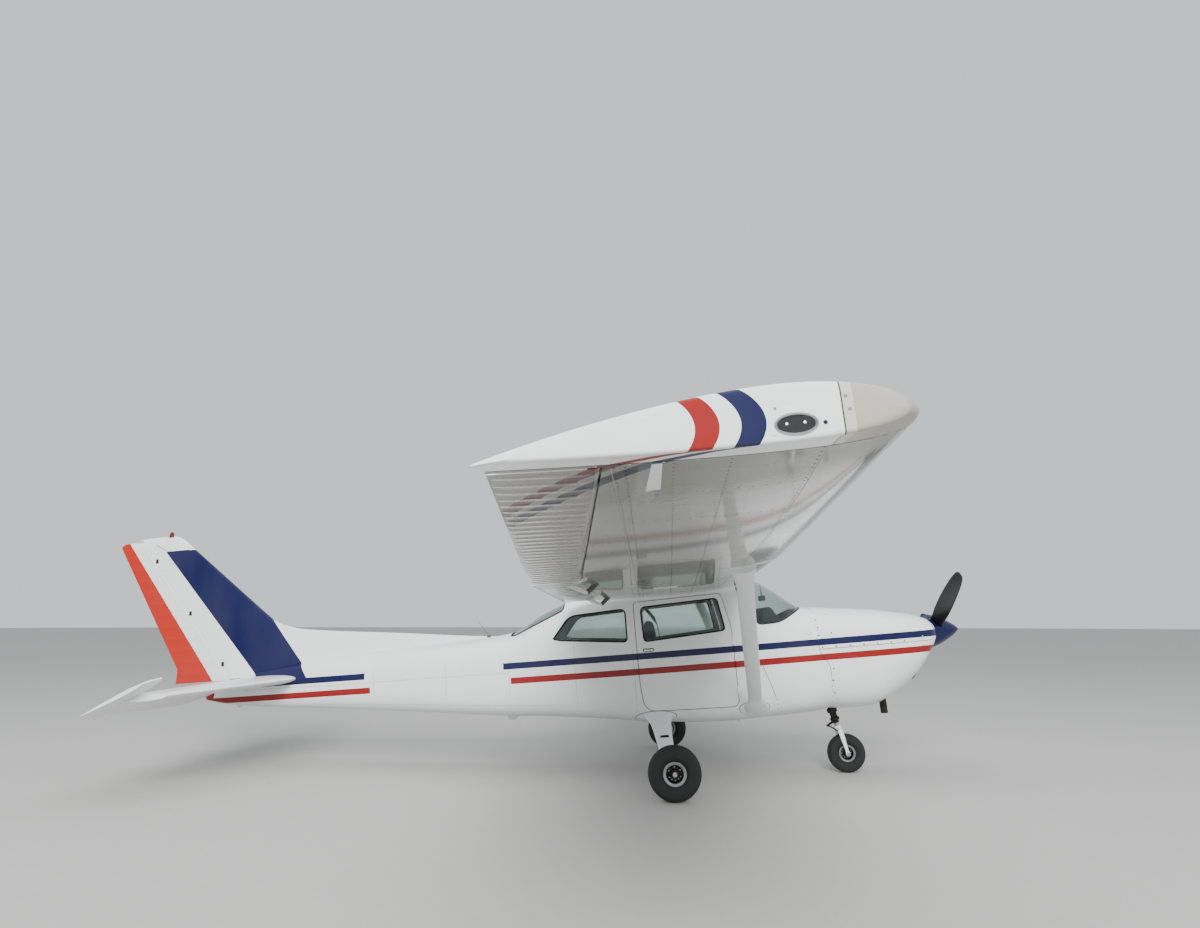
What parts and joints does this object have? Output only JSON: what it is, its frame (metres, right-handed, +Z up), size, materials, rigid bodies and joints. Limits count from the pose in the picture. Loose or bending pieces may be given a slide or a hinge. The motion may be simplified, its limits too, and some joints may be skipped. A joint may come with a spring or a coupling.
{
  "type": "light aircraft",
  "caption": "Four-seat light aircraft with a high strut-braced wing and tricycle landing gear, parked, with turning propeller, wheels, doors and control surfaces.",
  "frame": {"origin": "on the ground, below the middle of the whole aircraft's length and span", "axes": "+X forward along the ground to the nose, +Y to port, along the wings, +Z up; the aircraft stands nose up by 4.56 degrees"},
  "size_m": [8.2758, 10.9706, 2.2347],
  "materials": {
    "white_paint": "gloss",
    "navy_paint": "gloss",
    "red_paint": "gloss",
    "black_blade": "satin",
    "tip_moulding": "gloss",
    "window_glass": "gloss",
    "white_steel": "gloss",
    "bare_steel": "satin",
    "engine_iron": "matte",
    "wheel_alloy": "satin",
    "tyre_rubber": "matte",
    "panel_plastic": "matte",
    "seat_fabric": "matte",
    "beacon_lens": "gloss"
  },
  "bodies": {
    "airframe": {"cabin_floor": "white_paint", "cabin_roof": "white_paint", "forward_deck": "white_paint", "cabin_side_left": "white_paint", "side_window_left": "window_glass", "cabin_side_right": "white_paint", "side_window_right": "window_glass", "windshield": "window_glass", "rear_window": "window_glass", "firewall": "bare_steel", "baggage_bulkhead": "white_paint", "cowl_upper": "white_paint", "cowl_lower": "white_paint", "engine_block": "engine_iron", "exhaust_pipe": "bare_steel", "wing_left": "white_paint", "wing_tip_left": "tip_moulding", "wing_right": "white_paint", "wing_tip_right": "tip_moulding", "wing_strut_left": "white_paint", "wing_strut_right": "white_paint", "stabiliser_left": "white_paint", "stabiliser_right": "white_paint", "tail_cone": "white_paint", "fin": "white_paint", "beacon": "beacon_lens", "main_leg_left": "white_steel", "main_axle_left": "bare_steel", "main_leg_right": "white_steel", "main_axle_right": "bare_steel", "nose_strut": "white_steel", "instrument_panel": "panel_plastic", "front_seat_left": "seat_fabric", "front_seat_right": "seat_fabric", "rear_bench": "seat_fabric", "whip_aerial": "tip_moulding", "belly_aerial": "tip_moulding"},
    "propeller_and_spinner": {"propeller": "black_blade", "spinner": "navy_paint"},
    "main_wheel_left": {"main_left_rim": "wheel_alloy", "main_left_tyre": "tyre_rubber"},
    "main_wheel_right": {"main_right_rim": "wheel_alloy", "main_right_tyre": "tyre_rubber"},
    "nose_steering": {"nose_fork": "white_steel"},
    "nose_wheel": {"nose_rim": "wheel_alloy", "nose_tyre": "tyre_rubber"},
    "door_left": {"cabin_door_left": "white_paint", "door_window_left": "window_glass"},
    "door_right": {"cabin_door_right": "white_paint", "door_window_right": "window_glass"},
    "baggage_hatch": {"baggage_door": "white_paint"},
    "flap_port": {"flap_left": "white_paint"},
    "flap_starboard": {"flap_right": "white_paint"},
    "aileron_port": {"aileron_left": "white_paint"},
    "aileron_starboard": {"aileron_right": "white_paint"},
    "elevator_pair": {"elevator": "white_paint"},
    "rudder_blade": {"rudder": "red_paint"}
  },
  "joints": [
    {"name": "propeller_spin", "type": "hinge", "parent": "airframe", "child": "propeller_and_spinner", "pos_m": [3.83883, 0, 1.2543], "axis": [0.9968, 0, 0.0795], "continuous": true},
    {"name": "main_left_spin", "type": "hinge", "parent": "airframe", "child": "main_wheel_left", "pos_m": [1.43665, 1.265, 0.205], "axis": [0, 1, 0], "continuous": true},
    {"name": "main_right_spin", "type": "hinge", "parent": "airframe", "child": "main_wheel_right", "pos_m": [1.43665, -1.265, 0.205], "axis": [0, 1, 0], "continuous": true},
    {"name": "nose_steer", "type": "hinge", "parent": "airframe", "child": "nose_steering", "pos_m": [2.89411, 0, 0.67235], "axis": [-0.2737, 0, 0.9618], "range_deg": [-30, 30]},
    {"name": "nose_spin", "type": "hinge", "parent": "nose_steering", "child": "nose_wheel", "pos_m": [3.03765, 0, 0.168], "axis": [0, 1, 0], "continuous": true},
    {"name": "door_left_swing", "type": "hinge", "parent": "airframe", "child": "door_left", "pos_m": [2.00299, 0.561, 0.96543], "axis": [0.0795, 0, -0.9968], "range_deg": [0, 80]},
    {"name": "door_right_swing", "type": "hinge", "parent": "airframe", "child": "door_right", "pos_m": [2.00299, -0.561, 0.96543], "axis": [-0.0795, 0, 0.9968], "range_deg": [0, 80]},
    {"name": "baggage_door_swing", "type": "hinge", "parent": "airframe", "child": "baggage_hatch", "pos_m": [0.4691, 0.51, 0.86517], "axis": [0.0795, 0, -0.9968], "range_deg": [0, 90]},
    {"name": "flap_left_lower", "type": "hinge", "parent": "airframe", "child": "flap_port", "pos_m": [0.84336, 0.82, 1.48054], "axis": [0.0024, -0.9995, -0.0304], "range_deg": [0, 40]},
    {"name": "flap_right_lower", "type": "hinge", "parent": "airframe", "child": "flap_starboard", "pos_m": [0.84336, -0.82, 1.48054], "axis": [-0.0024, -0.9995, 0.0304], "range_deg": [0, 40]},
    {"name": "aileron_left_turn", "type": "hinge", "parent": "airframe", "child": "aileron_port", "pos_m": [0.80196, 2.547, 1.62236], "axis": [0.1093, 0.992, 0.0628], "range_deg": [-15, 20]},
    {"name": "aileron_right_turn", "type": "hinge", "parent": "airframe", "child": "aileron_starboard", "pos_m": [0.80196, -2.547, 1.62236], "axis": [-0.1093, 0.992, -0.0628], "range_deg": [-20, 15]},
    {"name": "elevator_turn", "type": "hinge", "parent": "airframe", "child": "elevator_pair", "pos_m": [-2.8197, 0, 0.74431], "axis": [0, 1, 0], "range_deg": [0, 51]},
    {"name": "rudder_turn", "type": "hinge", "parent": "airframe", "child": "rudder_blade", "pos_m": [-2.91784, 0, 0.8679], "axis": [-0.6247, 0, 0.7808], "range_deg": [-17.7, 17.7]}
  ],
  "couplings": [
    {"joint": "flap_right_lower", "follows": "flap_left_lower", "ratio": 1},
    {"joint": "aileron_right_turn", "follows": "aileron_left_turn", "ratio": -1}
  ]
}
